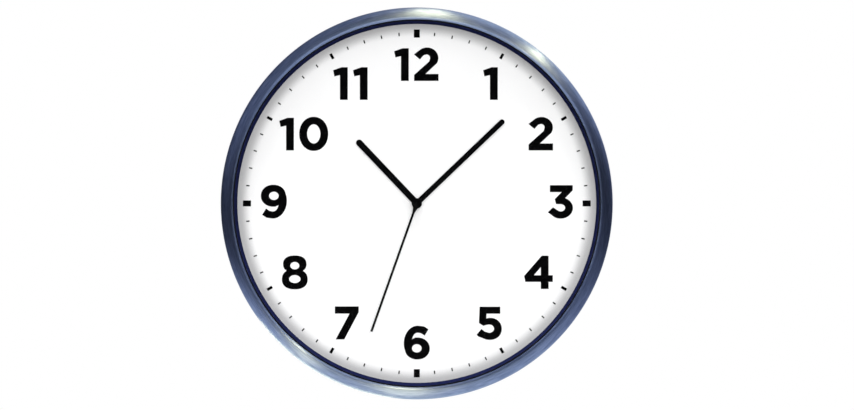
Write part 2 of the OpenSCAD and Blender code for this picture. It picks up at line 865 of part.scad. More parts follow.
module movement_screws() {
    head_t = 1.4;
    color("#c3c6cc") on_wall() at_movement_screws() difference() {
        union() {
            at_height(ear_z - head_t) cylinder(r = 2 * small_screw_r, h = head_t);
            at_height(ear_z - sink)
                cylinder(r = small_screw_r, h = sink + ear_t + ear_boss_h - ear_screw_tip);
        }
        at_height(ear_z - head_t) cross_recess(small_screw_r);
    }
}

// Places of the wheels round the hand axis. Every tooth count and module is the real train's:
// the rotor turns half a turn a step, the second hand's train reduces 30 times, the minute
// hand's 60 times, and the motion work 12 times.
train_module = 0.4;
motion_module = 0.5;
rotor_teeth = 8;
second_step_teeth = 40;
second_pinion_teeth = 10;
second_wheel_teeth = 60;
minute_step_teeth = 60;
minute_pinion_teeth = 8;
minute_wheel_teeth = 64;
cannon_teeth = 12;
motion_teeth = 36;
motion_pinion_teeth = 10;
hour_wheel_teeth = 40;

function pitch_r(teeth, m) = teeth * m / 2;
function centre_gap(a, b, m) = pitch_r(a, m) + pitch_r(b, m);

// The motion pinion shares the cannon pinion's centre distance, so its module follows from it
motion_gap = centre_gap(cannon_teeth, motion_teeth, motion_module);
hour_module = 2 * motion_gap / (motion_pinion_teeth + hour_wheel_teeth);

second_step_dir = 180;
second_step_at = polar(centre_gap(second_pinion_teeth, second_wheel_teeth, train_module),
                       second_step_dir);
second_rotor_dir = 120;
second_rotor_at = second_step_at
    + polar(centre_gap(rotor_teeth, second_step_teeth, train_module), second_rotor_dir);
minute_step_dir = 0;
minute_step_at = polar(centre_gap(minute_pinion_teeth, minute_wheel_teeth, train_module),
                       minute_step_dir);
minute_rotor_dir = 70;
minute_rotor_at = minute_step_at
    + polar(centre_gap(rotor_teeth, minute_step_teeth, train_module), minute_rotor_dir);
motion_dir = 90;
motion_at = polar(motion_gap, motion_dir);
function polar(r, a) = [r * cos(a), r * sin(a)];

// Angle at which a wheel's first tooth must stand so that it meshes with another wheel whose
// first tooth stands at phase. dir is the direction from that other wheel to this one.
function mesh_phase(dir, teeth, phase, own_teeth) =
    dir + 180 - 360 / own_teeth * (0.5 - (dir - phase) * teeth / 360);

second_pinion_phase = mesh_phase(second_step_dir, second_wheel_teeth, 0, second_pinion_teeth);
second_rotor_phase = mesh_phase(second_rotor_dir, second_step_teeth, 0, rotor_teeth);
minute_pinion_phase = mesh_phase(minute_step_dir, minute_wheel_teeth, 0, minute_pinion_teeth);
minute_rotor_phase = mesh_phase(minute_rotor_dir, minute_step_teeth, 0, rotor_teeth);
motion_phase = mesh_phase(motion_dir, cannon_teeth, 0, motion_teeth);
motion_pinion_phase = mesh_phase(motion_dir, hour_wheel_teeth, 0, motion_pinion_teeth);

// Toothed wheel with tapered teeth, thin enough to run with backlash
module toothed(teeth, m, phase, z0, z1, at = [0, 0]) {
    step = 360 / teeth;
    root = pitch_r(teeth, m) - 1.15 * m;
    tip = pitch_r(teeth, m) + 0.75 * m;
    translate([at[0], at[1], z0]) rotate([0, 0, phase])
        linear_extrude(height = z1 - z0) polygon([
            for (i = [0:teeth - 1])
                for (p = [[root, -0.23], [pitch_r(teeth, m), -0.17], [tip, -0.06],
                          [tip, 0.06], [pitch_r(teeth, m), 0.17], [root, 0.23]])
                    polar(p[0], (i + p[1]) * step)
        ]);
}

// Plain arbor between two heights
module arbor(at, r, z0, z1) {
    translate([at[0], at[1], z0]) cylinder(r = r, h = z1 - z0);
}

pivot_l = 0.6;        // length of an arbor's pivot inside its plate
rear_pivot_z = train_top - pivot_l;
front_pivot_z = plate_z + pivot_l;

// Heights of the wheels
second_wheel_z = train_top + 0.4;
second_step_z = second_wheel_z + wheel_t + 0.8;
minute_step_z = second_step_z - 0.3;
minute_wheel_z = second_step_z + wheel_t + 0.5;
cannon_z = minute_wheel_z + wheel_t + 0.4;
motion_z = cannon_z + 0.5;
hour_wheel_z = motion_z + wheel_t + 1.6;
stator_t = 1;
stator_z = minute_wheel_z + wheel_t + 0.4;
coil_r = 3.3;
coil_y = 21;
coil_z = stator_z + 1.5;
leg_x = 6.5;

module movement_front_plate() {
    color("#e6e6e2") on_wall() difference() {
        union() {
            translate([0, movement_mid, 0])
                rounded_plate(movement_w, movement_h, 3, plate_z, carrier_z);
            at_height(carrier_z - sink) cylinder(r = neck_r, h = neck_top - carrier_z + sink);
            arbor(motion_at, motion_stud_r, motion_z - 0.2, plate_z + sink);
            at_posts() at_height(train_top)
                cylinder(r = post_r, h = plate_z - train_top + sink);
            for (x = [second_rotor_at[0], minute_rotor_at[0]], s = [-1, 1])
                arbor([x + s * leg_x, coil_y], 1.2, stator_z + 2 * stator_t, plate_z + sink);
        }
        at_height(plate_z - cut)
            cylinder(r = hour_tube_r + run_gap, h = neck_top - plate_z + 2 * cut);
        for (at = [second_step_at, second_rotor_at, minute_step_at, minute_rotor_at])
            arbor(at, arbor_r + run_gap, plate_z - cut, front_pivot_z + 0.2);
    }
}
motion_stud_r = 0.75;

// Plate between the circuit board and the wheels, with the rear bearings and the stator posts
module train_plate() {
    color("#d5d8da") on_wall() difference() {
        union() {
            translate([0, train_mid, 0])
                rounded_plate(2 * post_x + 3.6, train_h, 2, train_z, train_top);
            at_posts() at_height(board_top) cylinder(r = post_r, h = train_z - board_top + sink);
            for (x = [second_rotor_at[0], minute_rotor_at[0]], s = [-1, 1])
                arbor([x + s * leg_x, coil_y], 1.2, train_top - sink, stator_z);
        }
        arbor([0, 0], second_arbor_r + run_gap, train_z - cut, train_top + cut);
        for (at = [second_step_at, second_rotor_at, minute_step_at, minute_rotor_at])
            arbor(at, arbor_r + run_gap, train_z - cut, train_top + cut);
    }
}
board_low = trough_high + movement_wall + 0.7;
board_high = 25.5;
train_mid = (board_low + board_high) / 2;
train_h = board_high - board_low;

module circuit_board() {
    color("#1d6b3a") on_wall() translate([0, train_mid, 0])
        rounded_plate(2 * post_x + 3.6, train_h, 1, board_z, board_top);
}

chip_t = 1.4;
module circuit_chips() {
    color("#15161a") on_wall() for (c = [[-14, 10, 12], [13, 12, 8]])
        translate([c[0] - c[2] / 2, c[1] - c[2] / 2, board_z - chip_t])
            cube([c[2], c[2], chip_t]);
}

crystal_r = 0.85;
module quartz_crystals() {
    color("#c8ccd0") on_wall() for (y = [1, 4.5])
        lengthways(y, board_z - crystal_r, 1) cylinder(r = crystal_r, h = 6, center = true);
}

module ferrite_rod() {
    color("#3b3d42") on_wall() lengthways(rod_y, rod_z)
        cylinder(r = rod_r, h = rod_l, center = true);
}

module antenna_coil() {
    color("#b0662c") on_wall() lengthways(rod_y, rod_z) difference() {
        cylinder(r = rod_r + winding_t, h = winding_l, center = true);
        cylinder(r = rod_r + run_gap, h = winding_l + 2 * cut, center = true);
    }
}

// Bobbin with its winding on a flat core that lies on the stator's legs
module motor_coil(x) {
    bobbin_l = 8;
    color("#b0662c") on_wall() {
        lengthways(coil_y, coil_z, x) cylinder(r = coil_r - 0.3, h = bobbin_l, center = true);
        for (s = [-1, 1])
            lengthways(coil_y, coil_z, x + s * (bobbin_l / 2 + 0.2))
                cylinder(r = coil_r, h = 0.6, center = true);
        translate([x - leg_x - 1.5, coil_y - 1.5, stator_z + stator_t])
            cube([2 * leg_x + 3, 3, stator_t]);
    }
}

// Soft iron plate round the rotor, with two legs that reach up to the coil's core
module stator(at) {
    half = 4;
    color("#8d9094") on_wall() at_height(stator_z) linear_extrude(height = stator_t)
        difference() {
            union() {
                translate([at[0] - leg_x - 1.5, at[1] - half]) square([2 * leg_x + 3, 2 * half]);
                for (s = [-1, 1])
                    translate([at[0] + s * leg_x - 1.5, at[1]])
                        square([3, coil_y + 1.5 - at[1]]);
            }
            translate(at) circle(r = magnet_r + 0.4);
        }
}
magnet_r = 3;

// Round magnet and pinion on one arbor
module rotor(at, phase, wheel_z) {
    magnet_z = stator_z - 0.4;
    color("#55585e") on_wall() {
        toothed(rotor_teeth, train_module, phase, wheel_z - 0.3, wheel_z + wheel_t + 0.3, at);
        arbor(at, magnet_r, magnet_z, magnet_z + 2);
        arbor(at, arbor_r, rear_pivot_z, front_pivot_z);
    }
}

module second_motor_coil() {
    motor_coil(second_rotor_at[0]);
}

module second_stator() {
    stator(second_rotor_at);
}

module second_rotor() {
    rotor(second_rotor_at, second_rotor_phase, second_step_z);
}

module second_step_wheel() {
    color("#e9e4d4") on_wall() {
        toothed(second_step_teeth, train_module, 0, second_step_z, second_step_z + wheel_t,
                second_step_at);
        toothed(second_pinion_teeth, train_module, second_pinion_phase, second_wheel_z - 0.2,
                second_step_z + sink, second_step_at);
        arbor(second_step_at, arbor_r, rear_pivot_z, front_pivot_z);
    }
}

module second_wheel() {
    color("#e9e4d4") on_wall() {
        toothed(second_wheel_teeth, train_module, 0, second_wheel_z, second_wheel_z + wheel_t);
        arbor([0, 0], second_arbor_r, rear_pivot_z, second_boss_z + boss_h - 0.5);
        arbor([0, 0], 1.4, second_wheel_z + wheel_t - sink, minute_wheel_z - 0.3);
    }
}

module minute_motor_coil() {
    motor_coil(minute_rotor_at[0]);
}

module minute_stator() {
    stator(minute_rotor_at);
}

module minute_rotor() {
    rotor(minute_rotor_at, minute_rotor_phase, minute_step_z);
}

module minute_step_wheel() {
    color("#e9e4d4") on_wall() {
        toothed(minute_step_teeth, train_module, 0, minute_step_z, minute_step_z + wheel_t,
                minute_step_at);
        toothed(minute_pinion_teeth, train_module, minute_pinion_phase,
                minute_step_z + wheel_t - sink, minute_wheel_z + wheel_t + 0.3, minute_step_at);
        arbor(minute_step_at, arbor_r, rear_pivot_z, front_pivot_z);
    }
}

// Wheel, cannon pinion and tube in one piece, bored for the second hand's arbor
module minute_wheel() {
    color("#e9e4d4") on_wall() difference() {
        union() {
            toothed(minute_wheel_teeth, train_module, 0, minute_wheel_z,
                    minute_wheel_z + wheel_t);
            toothed(cannon_teeth, motion_module, 0, minute_wheel_z + wheel_t - sink,
                    cannon_z + 2);
            arbor([0, 0], minute_tube_r, minute_wheel_z, minute_boss_z + boss_h);
        }
        arbor([0, 0], second_arbor_r + run_gap, minute_wheel_z - cut,
              minute_boss_z + boss_h + cut);
    }
}

module motion_wheel() {
    color("#e9e4d4") on_wall() difference() {
        union() {
            toothed(motion_teeth, motion_module, motion_phase, motion_z, motion_z + wheel_t,
                    motion_at);
            toothed(motion_pinion_teeth, hour_module, motion_pinion_phase,
                    motion_z + wheel_t - sink, hour_wheel_z + wheel_t + 0.4, motion_at);
        }
        arbor(motion_at, motion_stud_r + run_gap, motion_z - cut, plate_z);
    }
}

module hour_wheel() {
    color("#e9e4d4") on_wall() difference() {
        union() {
            toothed(hour_wheel_teeth, hour_module, 0, hour_wheel_z, hour_wheel_z + wheel_t);
            arbor([0, 0], hour_tube_r, hour_wheel_z - 0.4, hour_boss_z + boss_h);
        }
        arbor([0, 0], minute_tube_r + run_gap, hour_wheel_z - 0.4 - cut,
              hour_boss_z + boss_h + cut);
    }
}

// Battery and its contacts. The cell's nipple touches the plate, and the spring pushes its base.
nipple_l = 1.3;
cell_end = trough_l / 2 - contact_t;
module battery_cell() {
    color("#3f6f9f") on_wall() {
        lengthways(cell_y, cell_z, cell_end - cell_l)
            cylinder(r = cell_dia / 2, h = cell_l - nipple_l);
        lengthways(cell_y, cell_z, cell_end - nipple_l - sink)
            cylinder(r = 2.7, h = nipple_l + sink);
    }
}

module battery_plate() {
    color("#c9b26a") on_wall()
        translate([cell_end, cell_y - 5, cell_z - 6]) cube([contact_t, 10, 12]);
}

// Tapered coil of wire on a flat contact, wound as one tube along the cell's axis
spring_base_r = 4.2;
spring_tip_r = 2.4;
spring_x0 = -trough_l / 2 + contact_t + spring_wire_r;
spring_x1 = cell_end - cell_l - spring_wire_r;
ring_steps = 12;
wire_sides = 6;
function spring_point(t) =
    let (r = spring_base_r + (spring_tip_r - spring_base_r) * t, a = 360 * spring_turns * t)
        [spring_x0 + (spring_x1 - spring_x0) * t, cell_y + r * cos(a), cell_z + r * sin(a)];

// Ring of points round the wire: one direction is the coil's own radius, the other lies along x
function spring_ring(t) =
    let (c = spring_point(t), a = 360 * spring_turns * t)
        [for (k = [0:wire_sides - 1])
            let (b = 360 * k / wire_sides)
                c + spring_wire_r * [sin(b), cos(b) * cos(a), cos(b) * sin(a)]];

module battery_spring() {
    rings = ring_steps * spring_turns;
    points = [for (i = [0:rings]) each spring_ring(i / rings)];
    sides = [
        for (i = [0:rings - 1], k = [0:wire_sides - 1])
            let (a = i * wire_sides + k, b = i * wire_sides + (k + 1) % wire_sides)
                each [[a, b, b + wire_sides], [a, b + wire_sides, a + wire_sides]]
    ];
    first = [[for (k = [wire_sides - 1:-1:0]) k]];
    last = [[for (k = [0:wire_sides - 1]) rings * wire_sides + k]];
    color("#c4c7cb") on_wall() {
        polyhedron(points = points, faces = concat(sides, first, last));
        translate([-trough_l / 2, cell_y - 6, cell_z - 6]) cube([contact_t, 12, 12]);
    }
}

// Buttons: a cap proud of the movement's rear, a collar inside it and a stem to the board
module button(i) {
    cap_h = 1;
    collar_t = 0.5;
    stem_end = board_z - button_travel - 0.1;
    color("#c9cbd0") on_wall() translate([button_x(i), button_y, 0]) {
        at_height(movement_z - cap_h) cylinder(r = button_r, h = inside_z - movement_z + cap_h + 0.2);
        at_height(inside_z + 0.1) cylinder(r = button_r + 0.7, h = collar_t);
        at_height(inside_z) cylinder(r = 0.8, h = stem_end - inside_z);
    }
}

module set_button() {
    button(0);
}

module receive_button() {
    button(1);
}

module reset_button() {
    button(2);
}

steel_case();
glass_lens();
lens_gasket();
spacer_ring();
dial_sheet();
dial_print();
dial_carrier();
back_cover();
back_gasket();
cover_screws();
hanger_plate();
hanger_screws();
battery_hatch();
hatch_gasket();
hatch_screws();
hour_hand();
minute_hand();
second_hand();
movement_back_case();
movement_front_plate();
train_plate();
movement_screws();
circuit_board();
circuit_chips();
quartz_crystals();
ferrite_rod();
antenna_coil();
second_motor_coil();
second_stator();
second_rotor();
second_step_wheel();
second_wheel();
minute_motor_coil();
minute_stator();
minute_rotor();
minute_step_wheel();
minute_wheel();
motion_wheel();
hour_wheel();
battery_cell();
battery_spring();
battery_plate();
set_button();
receive_button();
reset_button();
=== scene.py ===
# %% [markdown]
# # Outdoor wall clock
#
# The clock hangs on a wall and is seen square on. It is a rolled steel case with a convex brushed
# bezel, a flat glass, a glossy dark ring, a white printed dial and three black hands. A radio
# movement with its cell sits behind the dial, inside a moulded back cover.
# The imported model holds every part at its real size. This script gives each part its finish, and
# builds again, as finer surfaces, the parts whose highlights and edges carry the look.

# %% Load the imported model
import math
import bpy
import numpy as np
from mathutils import Matrix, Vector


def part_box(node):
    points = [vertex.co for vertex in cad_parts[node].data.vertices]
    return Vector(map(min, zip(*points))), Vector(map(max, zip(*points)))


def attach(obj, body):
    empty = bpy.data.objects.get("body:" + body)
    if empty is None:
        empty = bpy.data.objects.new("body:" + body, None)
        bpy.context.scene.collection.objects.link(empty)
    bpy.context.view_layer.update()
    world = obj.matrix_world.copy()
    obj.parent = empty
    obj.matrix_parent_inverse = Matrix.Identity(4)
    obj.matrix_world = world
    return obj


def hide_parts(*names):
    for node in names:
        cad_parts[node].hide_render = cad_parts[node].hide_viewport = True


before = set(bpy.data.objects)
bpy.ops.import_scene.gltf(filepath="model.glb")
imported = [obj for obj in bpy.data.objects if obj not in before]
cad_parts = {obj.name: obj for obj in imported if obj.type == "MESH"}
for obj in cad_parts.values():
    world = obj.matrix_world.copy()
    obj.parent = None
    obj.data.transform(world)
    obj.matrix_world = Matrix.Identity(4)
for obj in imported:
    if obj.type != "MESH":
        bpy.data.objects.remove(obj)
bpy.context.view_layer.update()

MM = 0.001

# %% [markdown]
# ## Camera
#
# A catalogue picture of a round clock is taken from far off with a long lens, so that the rim
# stays a circle and its inner wall hardly shows. The sensor is Blender's own 36 mm. The focal
# length then follows from how wide a strip of the clock's front plane the picture takes in.

# %% Place the camera in front of the dial
PICTURE_WIDTH_PX = 854
PICTURE_HEIGHT_PX = 410
CENTRE_X_PX = 416.75     # the dial's centre in the picture
CENTRE_Y_PX = 203.4
RIM_RADIUS_PX = 196.0    # the case's outline in the picture
CAMERA_DISTANCE = 2.5    # from the shoulder of the case, in metres
SHOULDER_R = 6.0         # height of the bezel's curve, in mm, from the shoulder to the crown
SENSOR_MM = 36

case_low, case_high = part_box("steel_case")
case_r = case_high[0]
front_y = case_low[1]
outline_y = front_y + SHOULDER_R * MM
metre_per_px = case_r / RIM_RADIUS_PX

camera_data = bpy.data.cameras.new("camera")
camera_data.lens = SENSOR_MM * CAMERA_DISTANCE / (PICTURE_WIDTH_PX * metre_per_px)
camera = bpy.data.objects.new("camera", camera_data)
camera.location = (
    (PICTURE_WIDTH_PX / 2 - CENTRE_X_PX) * metre_per_px,
    outline_y - CAMERA_DISTANCE,
    (CENTRE_Y_PX - PICTURE_HEIGHT_PX / 2) * metre_per_px,
)
camera.rotation_euler = (math.radians(90), 0, 0)
bpy.context.scene.collection.objects.link(camera)
bpy.context.scene.camera = camera
print("lens in mm:", round(camera_data.lens, 1))

# %% [markdown]
# ## Nodes and colours
#
# Colours are written as the sRGB hex values that a paint chart would give, while shaders work
# with linear light, so one function turns the one into the other. Materials are built from nodes
# by one small function, which sets a node's properties and fills its sockets: a number or a
# colour is set on the socket itself, and a socket is linked to it.

# %% Helpers for materials
NOISE_LOW, NOISE_HIGH = 0.25, 0.75  # nearly all of a noise lies between these


def linear(colour):
    """sRGB hex to linear RGBA: a channel c is ((c + 0.055) / 1.055) ** 2.4, and c / 12.92 near
    black."""
    channels = np.array([int(colour[i:i + 2], 16) for i in (1, 3, 5)]) / 255
    bright = ((channels + 0.055) / 1.055) ** 2.4
    return (*np.where(channels > 0.04045, bright, channels / 12.92), 1.0)


def add(material, kind, inputs=None, **settings):
    """Adds a node to a material or a world, sets its properties and fills its inputs."""
    tree = material.node_tree
    node = tree.nodes.new(kind)
    for name, value in settings.items():
        setattr(node, name, value)
    for key, value in (inputs or {}).items():
        if isinstance(value, bpy.types.NodeSocket):
            tree.links.new(value, node.inputs[key])
        else:
            node.inputs[key].default_value = value
    return node


def new_material(name, **inputs):
    """A material with one Principled shader, whose sockets are given with _ for a space."""
    material = bpy.data.materials.new(name)
    material.use_nodes = True
    shader = material.node_tree.nodes["Principled BSDF"]
    for key, value in inputs.items():
        shader.inputs[key.replace("_", " ")].default_value = value
    material.diffuse_color = shader.inputs["Base Color"].default_value
    return material


def feed(material, socket, value):
    """Links a node's output to a socket of the material's Principled shader."""
    material.node_tree.links.new(value, material.node_tree.nodes["Principled BSDF"].inputs[socket])


def noise(material, size_mm, stretch=(1, 1, 1), detail=2.0):
    """Noise on Object coordinates whose blobs are about size_mm wide. stretch over 1 draws the
    blobs out along that axis."""
    place = add(material, "ShaderNodeMapping", {
        "Vector": add(material, "ShaderNodeTexCoord").outputs["Object"],
        "Scale": [1 / (size_mm * MM * s) for s in stretch]})
    return add(material, "ShaderNodeTexNoise", {
        "Vector": place.outputs["Vector"], "Scale": 1.0, "Detail": detail}).outputs["Fac"]


def between(material, factor, low, high):
    """Number that runs from low to high as a noise goes from its lowest to its highest."""
    return add(material, "ShaderNodeMapRange", {
        "Value": factor, "From Min": NOISE_LOW, "From Max": NOISE_HIGH,
        "To Min": low, "To Max": high}).outputs["Result"]


def shade(material, factor, dark, light):
    """Colour that runs from dark to light, both sRGB hex, as a noise goes from its lowest to its
    highest."""
    ramp = add(material, "ShaderNodeValToRGB", {"Fac": factor})
    first, last = ramp.color_ramp.elements
    first.position, last.position = NOISE_LOW, NOISE_HIGH
    first.color, last.color = linear(dark), linear(light)
    return ramp.outputs["Color"]


def bump(material, height, depth_mm):
    """Bump of a real depth from a height that runs from 0 to 1."""
    return add(material, "ShaderNodeBump", {
        "Height": height, "Distance": depth_mm * MM, "Strength": 1.0}).outputs["Normal"]


print("white is", linear("#ffffff")[:3])

# %% [markdown]
# ## Surfaces from arrays
#
# Every new part is a grid of points that numpy works out at once. Most are turned parts: a
# section of radius and height above the wall, carried round the hand axis. The clock hangs, so
# height above the wall is measured towards the viewer, along -Y.

# %% Helpers for meshes
RIM_STEPS = 480          # points round the case and the ring
DISC_STEPS = 240         # points round the glass and the dial


def grid_faces(rows, columns, wrap_rows=False, wrap_columns=False):
    """Quads of a grid of points numbered row by row: corner, next in the row, the same in the
    next row, and back."""
    row, column = np.meshgrid(np.arange(rows if wrap_rows else rows - 1),
                              np.arange(columns if wrap_columns else columns - 1), indexing="ij")
    next_row = (row + 1) % rows
    next_column = (column + 1) % columns
    corners = [row * columns + column, row * columns + next_column,
               next_row * columns + next_column, next_row * columns + column]
    return np.stack(corners, axis=-1).reshape(-1, 4)


def welded(points, faces):
    """Points at one place become one. A quad that loses a corner is left as a triangle."""
    places, index = np.unique(np.round(points, 8), axis=0, return_inverse=True)
    faces = index.reshape(-1)[faces]
    same = faces == np.roll(faces, -1, axis=1)
    whole = faces[same.sum(axis=1) == 0]
    folded = faces[same.sum(axis=1) == 1]
    triangles = folded[~same[same.sum(axis=1) == 1]].reshape(-1, 3)
    return places, whole.tolist() + triangles.tolist()


def stood_up(x, y, height):
    """Points of the dial plane, x to the right and y up, at a height above the wall, in
    millimetres, turned into metres in the frame."""
    x, y, height = np.broadcast_arrays(x, y, height)
    return np.stack([x * MM, -height * MM, y * MM], axis=-1)


def arc(cx, cy, rx, ry, start, end, steps):
    """Points on an ellipse: centre plus radius times cosine and sine, angles in degrees."""
    angle = np.radians(np.linspace(start, end, steps + 1))
    return np.stack([cx + rx * np.cos(angle), cy + ry * np.sin(angle)], axis=-1)


def revolved(section, steps, centre=(0, 0)):
    """A closed section of (radius, height), carried round an axis that stands on the wall. Its
    signed area tells which way it runs, and it is turned to run clockwise, so that every face
    looks outwards."""
    section = np.asarray(section, dtype=float)
    after = np.roll(section, -1, axis=0)
    if np.sum(section[:, 0] * after[:, 1] - after[:, 0] * section[:, 1]) > 0:
        section = section[::-1]
    turn = np.linspace(0, 2 * np.pi, steps, endpoint=False)[:, None]
    points = stood_up(centre[0] + section[:, 0] * np.cos(turn),
                      centre[1] + section[:, 0] * np.sin(turn), section[:, 1])
    return welded(points.reshape(-1, 3), grid_faces(steps, len(section), True, True))


def joined(*shells):
    """Several (points, faces) as one."""
    points, faces, start = [], [], 0
    for shell_points, shell_faces in shells:
        points.append(shell_points)
        faces += [[start + corner for corner in face] for face in shell_faces]
        start += len(shell_points)
    return np.concatenate(points), faces


def make_piece(name, shell, material, replaces=(), body="root", crisp=32):
    """Makes the mesh object of a finished piece, smooth except at edges sharper than crisp."""
    points, faces = shell
    mesh = bpy.data.meshes.new(name)
    mesh.from_pydata(points.tolist(), [], faces)
    mesh.shade_smooth()
    mesh.set_sharp_from_angle(angle=math.radians(crisp))
    mesh.materials.append(material)
    piece = bpy.data.objects.new(name, mesh)
    bpy.context.scene.collection.objects.link(piece)
    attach(piece, body)
    if replaces:
        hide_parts(*replaces)
    print(name, "points:", len(points), "faces:", len(faces))
    return piece


def dress(material, *nodes):
    """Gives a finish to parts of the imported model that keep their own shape."""
    for node in nodes:
        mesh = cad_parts[node].data
        mesh.materials.clear()
        mesh.materials.append(material)
    print(material.name, "on:", ", ".join(nodes))


# %% [markdown]
# ## Steel case
#
# The case is sheet steel, rolled and spun: a straight side, a round shoulder, a crown, and a fall
# towards the glass that ends in a cut lip. It was brushed while it turned, so its fine scratches
# run round the clock. Scratches that run one way stretch each highlight across them, and that
# gives the bezel its bright radial flares and its dark quarters between them. The shader has this
# as its anisotropy, and the tangent of the scratches comes from a UV map that runs round the rim.
# The steel looks blue-grey beside the white dial, and that cast is in its colour.

# %% Section of the case
STEEL_T = 1.0
BEZEL_W = 11.2           # from the case's outline in to the edge of the lip
CROWN_IN = 8.6
LIP_DROP = 2.5
BEZEL_STEPS = 16
CUT_EDGE = 0.2           # how much the case's rear edge is broken
outer_r = case_r / MM
case_depth = -front_y / MM
rear_edge = -case_high[1] / MM
inner_r = outer_r - STEEL_T
crown_r = outer_r - CROWN_IN
lip_r = outer_r - BEZEL_W
lip_z = case_depth - LIP_DROP
shoulder_z = case_depth - SHOULDER_R


def bezel_curve(inset, steps):
    """The bezel's section: a quarter of an ellipse outside the crown, and inside it a narrower
    ellipse that falls to the lip. inset moves it inwards by the thickness of the sheet."""
    fall = (BEZEL_W - CROWN_IN) / math.sqrt(1 - ((SHOULDER_R - LIP_DROP) / SHOULDER_R) ** 2)
    end = 180 - math.degrees(math.asin((SHOULDER_R - LIP_DROP) / (SHOULDER_R - inset)))
    height = SHOULDER_R - inset
    return np.concatenate([
        arc(crown_r, shoulder_z, CROWN_IN - inset, height, 0, 90, steps),
        arc(crown_r, shoulder_z, fall - inset, height, 90, end, steps)[1:],
    ])


case_section = np.concatenate([
    [(inner_r, rear_edge), (outer_r - CUT_EDGE, rear_edge), (outer_r, rear_edge + CUT_EDGE)],
    bezel_curve(0, BEZEL_STEPS), bezel_curve(STEEL_T, BEZEL_STEPS)[::-1],
])
print("points in the section:", len(case_section))

# %% Brushed steel
brushed_steel = new_material(
    "brushed_steel", Base_Color=linear("#8a9dc4"), Metallic=1.0, Roughness=0.3, Anisotropic=1.0)
SCRATCH_W = 0.25         # real scratches are 0.02 mm wide, and are drawn wider so that they show
BAND_W = 1.1             # width of the paler and darker bands that a worn brush leaves, in mm
SCRATCH_RUN, BAND_RUN = 14, 4  # how many times a scratch and a band start anew in a radian


def brush(material):
    """Scratches round the rim: noise on the attribute lay, whose first two numbers go once round
    the unit circle and whose third is the distance across the rim in millimetres."""
    lay = add(material, "ShaderNodeAttribute", attribute_name="lay").outputs["Vector"]

    def streaks(run, width, detail):
        place = add(material, "ShaderNodeMapping", {"Vector": lay, "Scale": (run, run, 1 / width)})
        return add(material, "ShaderNodeTexNoise", {
            "Vector": place.outputs["Vector"], "Scale": 1.0, "Detail": detail}).outputs["Fac"]

    scratches = streaks(SCRATCH_RUN, SCRATCH_W, 3.0)
    bands = streaks(BAND_RUN, BAND_W, 2.0)
    feed(material, "Base Color", shade(material, scratches, "#7487ad", "#9db1d9"))
    feed(material, "Roughness", between(material, bands, 0.27, 0.33))
    feed(material, "Normal", bump(material, scratches, 0.006))
    tangent = add(material, "ShaderNodeTangent", direction_type="UV_MAP", uv_map="across")
    feed(material, "Tangent", tangent.outputs["Tangent"])


brush(brushed_steel)
print("scratch width in mm:", SCRATCH_W)

# %% Turn the case and weld its lugs on
LUG_COUNT = 6
LUG_R = 4.5
LUG_Z = 3.7
LUG_L = 12.0
LUG_BORE = 2.05
LUG_FLOOR = 1.5
LUG_EDGE = 0.4
LUG_STEPS = 32


def lug(number):
    """Welded block for a cover screw: a drum with a blind hole that opens to the rear."""
    turn = math.radians(number * 360 / LUG_COUNT)
    reach = inner_r - LUG_R
    end = LUG_Z + LUG_L
    section = [
        (LUG_BORE, LUG_Z), (LUG_R - LUG_EDGE, LUG_Z), (LUG_R, LUG_Z + LUG_EDGE),
        (LUG_R, end - LUG_EDGE), (LUG_R - LUG_EDGE, end), (0, end),
        (0, end - LUG_FLOOR), (LUG_BORE, end - LUG_FLOOR),
    ]
    return revolved(section, LUG_STEPS, (reach * math.cos(turn), reach * math.sin(turn)))


lugs = [lug(number) for number in range(LUG_COUNT)]
case = make_piece("case_shell", joined(revolved(case_section, RIM_STEPS), *lugs), brushed_steel,
                  replaces=["steel_case"])

# %% Direction of the scratches
ACROSS_SHARE = 0.7       # share of the radius in a distance that also grows with the height
UV_SPAN = 100            # millimetres across the rim for one unit of u


def lay_scratches(piece):
    """UV map across, with u across the scratches and v along them, and the attribute lay: cosine
    and sine of the turn, and a distance that grows steadily across the rim, in millimetres."""
    mesh = piece.data
    points = np.empty(len(mesh.vertices) * 3)
    mesh.vertices.foreach_get("co", points)
    points = points.reshape(-1, 3) / MM
    reach = np.hypot(points[:, 0], points[:, 2])
    across = reach * ACROSS_SHARE - points[:, 1]
    lay = np.stack([points[:, 0] / reach, points[:, 2] / reach, across], axis=-1)
    mesh.attributes.new("lay", "FLOAT_VECTOR", "POINT").data.foreach_set("vector", lay.ravel())
    corner = np.empty(len(mesh.loops), dtype=int)
    mesh.loops.foreach_get("vertex_index", corner)
    turn = np.arctan2(points[:, 2], points[:, 0])[corner] / (2 * np.pi)
    face = np.repeat(np.arange(len(mesh.polygons)), [p.loop_total for p in mesh.polygons])
    low = np.full(len(mesh.polygons), np.inf)
    np.minimum.at(low, face, turn)
    turn = np.where(turn - low[face] > 0.5, turn - 1, turn)
    uv = np.stack([across[corner] / UV_SPAN, turn], axis=-1)
    mesh.uv_layers.new(name="across").data.foreach_set("uv", uv.ravel())
    print("corners with a scratch direction:", len(uv))


lay_scratches(case)

# %% [markdown]
# ## Dark ring, gaskets and glass
#
# Between the dial and the glass stands a ring of injection-moulded plastic, almost black with a
# blue cast. Seen from the front it is a thin dark circle. It could mirror the lamps, but it stands
# in the shade of the lip, and a mirror there would only show the pale dial, so it is given its
# colour alone. The glass is plain float glass, 3 mm thick, with ground edges, and hardly shows.
# Rubber rings under the lip, the back cover and the hatch keep the rain out, and the first shows
# as a black line beside the ring. Rubber is matt, so it stays black under any lamp.

